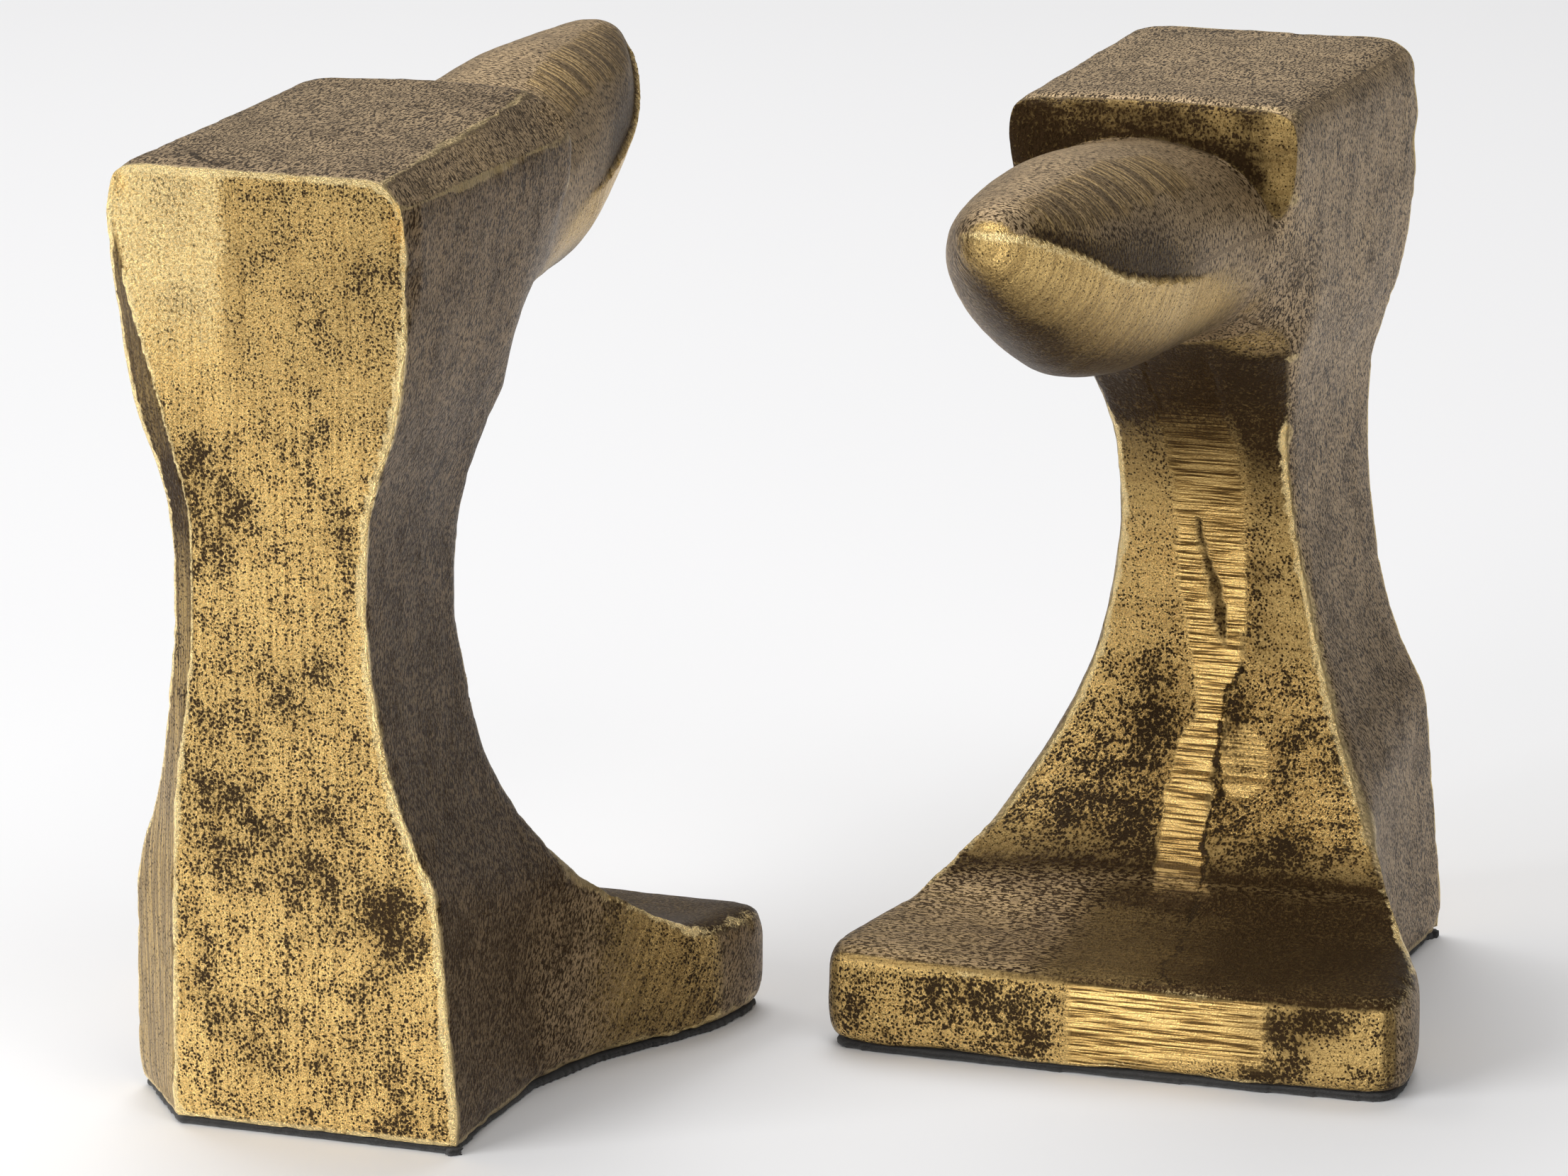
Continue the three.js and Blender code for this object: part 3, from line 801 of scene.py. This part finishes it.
def open_pits(graph, look):
    """Pits open where the specks are lowest, and round pores: more of them where the casting is pitted."""
    density = graph.calculate("ADD", look.pitting, graph.ramp(look.clouds, 0.3, 0.7, -0.2, 0.2))
    density = graph.calculate("ADD", density, graph.ramp(look.streaks, 0.35, 0.65, 0.06, -0.06))
    depth = graph.calculate("SUBTRACT", graph.ramp(density, 0.0, 1.0, 0.30, 0.53), look.specks)
    reach = graph.calculate("ADD", graph.ramp(density, 0.0, 1.0, -0.36, 0.1), look.grit)
    pore = graph.calculate("SUBTRACT", reach, graph.pores(look.place, PORES))
    depth = graph.calculate("MAXIMUM", depth, graph.calculate("MULTIPLY", pore, 0.6))
    return graph.ramp(depth, -0.045, 0.04)


def brass_look(graph):
    """The casting's own values, the noises, and the masks that follow from both, each from 0 to 1."""
    look = SimpleNamespace(**{value: graph.attribute(value) for value in BRASS_VALUES})
    look.place = graph.attribute("place", vector=True)
    brass_noises(graph, look)
    look.pits = open_pits(graph, look)
    look.dents = graph.ramp(look.strokes, 0.49, 0.40)
    look.lines = graph.calculate("MULTIPLY", graph.ramp(look.streaks, 0.56, 0.44), look.striated)

    coated = graph.calculate("ADD", look.patina, graph.ramp(look.specks, 0.3, 0.7, 0.12, -0.12))
    look.coated = graph.ramp(coated, 0.2, 0.8)

    # The darkening carries dirt and painted shade, mottled by the specks and, on patina, by its strokes.
    dirt_and_shade_mottle = graph.ramp(look.specks, 0.65, 0.35, 0.88, 1.15)
    dirt_and_shade_mottle = graph.blend(look.coated, dirt_and_shade_mottle, graph.ramp(look.strokes, 0.56, 0.40, 0.55, 1.45))
    look.blot = graph.calculate("MULTIPLY", look.stain, dirt_and_shade_mottle, clamp=True)

    # Wear and painted highlights, held back where the patina is thick.
    wear_and_highlight = graph.calculate("ADD", look.edge, graph.ramp(look.specks, 0.3, 0.7, -0.25, 0.25))
    wear_and_highlight = graph.ramp(wear_and_highlight, 0.25, 0.85)
    look.rubbed = graph.calculate("MULTIPLY", wear_and_highlight, graph.ramp(look.coated, 0.3, 1.0, 1.0, 0.35))

    ragged = graph.calculate("ADD", look.crack, graph.ramp(look.specks, 0.3, 0.7, -0.5, 0.5))
    look.split = graph.ramp(ragged, 0.8, 0.35)
    return look


def rubbed_gold(graph, look):
    """Bare brass: bright on the high specks, warm in the low ones, black in the pits."""
    polish = graph.calculate("SUBTRACT", look.specks, graph.calculate("MULTIPLY", look.pitting, 0.2))
    gold = graph.mix(graph.ramp(polish, 0.22, 0.42), WARM_GOLD, BRIGHT_GOLD)
    gold = graph.mix(graph.ramp(look.grit, 0.52, 0.7, 0.0, 0.8), gold, DIRT_AND_SHADE_BROWN)
    gold = graph.mix(graph.ramp(look.streaks, 0.55, 0.4, 0.0, 0.25), gold, WARM_GOLD)
    gold = graph.mix(graph.calculate("MULTIPLY", look.lines, 0.65), gold, DIRT_AND_SHADE_BROWN)
    return graph.mix(look.pits, gold, PIT_BLACK)


def patina_coat(graph, look):
    """The grey-brown patina, dark in its dents."""
    coat = graph.mix(look.dents, PATINA_LIGHT, PATINA_DARK)
    coat = graph.mix(graph.ramp(look.grit, 0.5, 0.7, 0.0, 0.6), coat, PATINA_DARK)
    coat = graph.mix(graph.ramp(look.clouds, 0.4, 0.7, 0.0, 0.3), coat, PATINA_DARK)
    return graph.mix(graph.calculate("MULTIPLY", look.pits, 0.6), coat, PIT_BLACK)


def ground_metal(graph, look, coat):
    """Metal with the grinder's fine ribs, partly covered by patina where the casting has any."""
    ground = graph.mix(graph.ramp(look.ribs, 0.4, 0.6), WARM_GOLD, BRIGHT_GOLD)
    ground = graph.mix(graph.ramp(look.ribs, 0.52, 0.40, 0.0, 0.85), ground, DIRT_AND_SHADE_BROWN)
    ground = graph.mix(graph.calculate("MULTIPLY", look.patina, 0.55), ground, coat)
    return graph.mix(graph.calculate("MULTIPLY", look.lines, 0.8), ground, DIRT_AND_SHADE_BROWN)


def brass_colour(graph, look):
    coat = patina_coat(graph, look)
    base = graph.mix(look.coated, rubbed_gold(graph, look), coat)
    base = graph.mix(look.grinding, base, ground_metal(graph, look, coat))
    # Dirt and painted shade darken towards dark brown.
    base = graph.mix(look.blot, base, DIRT_AND_SHADE_BROWN)
    # Wear and painted highlights go pale gold.
    base = graph.mix(look.rubbed, base, WORN_AND_HIGHLIT_GOLD)
    return graph.mix(look.split, base, PIT_BLACK)


def brass_dullness(graph, look):
    """Pits, patina, dirt and painted shade are dull, and the pale gold of wear and painted highlights is not.
    """
    dull = graph.calculate("MAXIMUM", look.pits, graph.calculate("MULTIPLY", look.coated, 0.6))
    dull = graph.calculate("MAXIMUM", dull, graph.calculate("MULTIPLY", look.blot, 0.55))
    return graph.calculate("MULTIPLY", dull, graph.calculate("SUBTRACT", 1.0, look.rubbed))


def brass_height(graph, look):
    """The fine relief, in millimetres."""
    cast = graph.calculate("SUBTRACT", look.specks, graph.calculate("MULTIPLY", look.pits, 0.12))
    cast = graph.calculate("MULTIPLY", cast, graph.blend(look.pitting, 0.8, 2.2))
    cast = graph.calculate("MULTIPLY", cast, graph.calculate("SUBTRACT", 1.0, look.coated))
    cast = graph.calculate("MULTIPLY", cast, graph.calculate("SUBTRACT", 1.0, look.grinding))
    gritty = graph.calculate("MULTIPLY", look.grit, -0.25)
    brushed = graph.calculate("MULTIPLY", look.dents, graph.blend(look.coated, 0.0, -0.5))
    ribbed = graph.calculate("MULTIPLY", graph.calculate("MULTIPLY", look.ribs, look.grinding), 0.3)
    cut = graph.calculate("MULTIPLY", look.split, -0.4)
    cast = graph.calculate("ADD", cast, gritty)
    worked = graph.calculate("ADD", brushed, ribbed)
    return graph.calculate("ADD", graph.calculate("ADD", cast, worked), cut)


def antique_brass(name):
    graph = Graph(name)
    look = brass_look(graph)
    dull = brass_dullness(graph, look)
    graph.feed(graph.shader.inputs["Base Color"], brass_colour(graph, look))
    graph.feed(graph.shader.inputs["Metallic"], graph.blend(dull, 1.0, DULL_METALLIC))
    graph.feed(graph.shader.inputs["Roughness"], graph.blend(dull, BRIGHT_ROUGHNESS, DULL_ROUGHNESS))
    graph.shader.inputs["Specular IOR Level"].default_value = BRASS_SPECULAR
    graph.feed(graph.shader.inputs["Normal"], graph.bump(brass_height(graph, look)))
    return graph.material


def black_felt(name):
    graph = Graph(name)
    place = graph.attribute("place", vector=True)
    fibres = graph.noise(graph.stretched(place, (1, 1, 2)), 2.2, detail=4, roughness=0.7, distortion=1.2)
    lint = graph.noise(place, 5, detail=2)
    base = graph.mix(graph.ramp(fibres, 0.3, 0.7), FELT_BLACK, FELT_GREY)
    base = graph.mix(graph.ramp(lint, 0.66, 0.72), base, LINT)
    graph.feed(graph.shader.inputs["Base Color"], base)
    graph.shader.inputs["Roughness"].default_value = 0.95
    graph.shader.inputs["Specular IOR Level"].default_value = 0.2
    graph.shader.inputs["Sheen Weight"].default_value = 0.25
    graph.shader.inputs["Sheen Roughness"].default_value = 0.6
    graph.feed(graph.shader.inputs["Normal"], graph.bump(fibres, 0.6))
    return graph.material


def pale_paper():
    graph = Graph("pale_paper")
    graph.feed(graph.shader.inputs["Base Color"], PAPER_WHITE)
    graph.shader.inputs["Roughness"].default_value = 0.9
    return graph.material


# ---- The pieces ----

RIGHT_SHIFT = 50  # makes the right piece's small marks differ from the left one's
LEFT_SIDE_SHADE = 0.58  # how much painted shade darkens the sides and the top
RIGHT_SIDE_SHADE = 0.05

brass = antique_brass("antique_brass")
felt = black_felt("black_felt")

left_stance = Stance(LEFT_PLACE)
right_stance = Stance(RIGHT_PLACE, RIGHT_TURN, mirrored=True)

left = casting("left_brass_casting", "left_casting", left_stance, brass, 0, LEFT_SIDE_SHADE, ground_away=True)
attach(left, "left_book_end")
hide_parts("left_casting")

right = casting("right_brass_casting", "right_casting", right_stance, brass, RIGHT_SHIFT, RIGHT_SIDE_SHADE)
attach(right, "right_book_end")
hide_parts("right_casting")

left_pad = felt_pad("left_felt", "left_felt_pad", felt, 0)
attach(left_pad, "left_book_end")
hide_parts("left_felt_pad")

right_pad = felt_pad("right_felt", "right_felt_pad", felt, RIGHT_SHIFT)
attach(right_pad, "right_book_end")
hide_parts("right_felt_pad")

# ---- Floor, light and camera, in metres of the row frame ----

FLOOR_HALF = 6.0
FLOOR_CORNERS = [(-1, -1), (1, -1), (1, 1), (-1, 1)]
SKY_STRENGTH = 0.26
# Soft lamps: name, place, the point it shines at, (width, height), power in watts
LAMPS = [
    ("key", (-1.25, 0.85, 0.45), (-0.1, 0, 0.1), (1.0, 0.85), 24),
    ("top", (0.9, 0.65, 2.2), (0.4, 0.1, 0), (1.8, 1.8), 40),
    ("front", (-0.7, -0.5, 1.3), (-0.6, -0.3, 0), (0.5, 0.5), 3),
    ("fill", (-0.9, -1.5, 1.0), (0, 0, 0.1), (0.8, 0.8), 4),
]
CAMERA_PLACE = (-1.5371, -0.5607, 0.5097)
CAMERA_TILT = math.radians(75.79)
CAMERA_TURN = math.radians(-69.86)
FOCAL_LENGTH = 184.47
SENSOR_WIDTH = 36


def floor():
    corners = [(FLOOR_HALF * x, FLOOR_HALF * y, 0) for x, y in FLOOR_CORNERS]
    mesh = bpy.data.meshes.new("floor")
    mesh.from_pydata(corners, [], [(0, 1, 2, 3)])
    mesh.materials.append(pale_paper())
    plane = bpy.data.objects.new("floor", mesh)
    bpy.context.scene.collection.objects.link(plane)


def softbox(name, location, target, size, power):
    light = bpy.data.lights.new(name, "AREA")
    light.shape = "RECTANGLE"
    light.size, light.size_y = size
    light.energy = power
    lamp = bpy.data.objects.new(name, light)
    lamp.location = location
    lamp.rotation_euler = (Vector(target) - Vector(location)).to_track_quat("-Z", "Y").to_euler()
    bpy.context.scene.collection.objects.link(lamp)


def surroundings():
    world = bpy.data.worlds.new("studio")
    world.use_nodes = True
    backdrop = world.node_tree.nodes["Background"]
    backdrop.inputs["Color"].default_value = (*DAYLIGHT, 1)
    backdrop.inputs["Strength"].default_value = SKY_STRENGTH
    bpy.context.scene.world = world


def camera():
    lens = bpy.data.cameras.new("camera")
    lens.lens = FOCAL_LENGTH
    lens.sensor_width = SENSOR_WIDTH
    view = bpy.data.objects.new("camera", lens)
    view.location = CAMERA_PLACE
    view.rotation_euler = (CAMERA_TILT, 0, CAMERA_TURN)
    bpy.context.scene.collection.objects.link(view)
    bpy.context.scene.camera = view


floor()
surroundings()
for lamp_values in LAMPS:
    softbox(*lamp_values)
camera()
bpy.context.scene.view_settings.view_transform = "Standard"
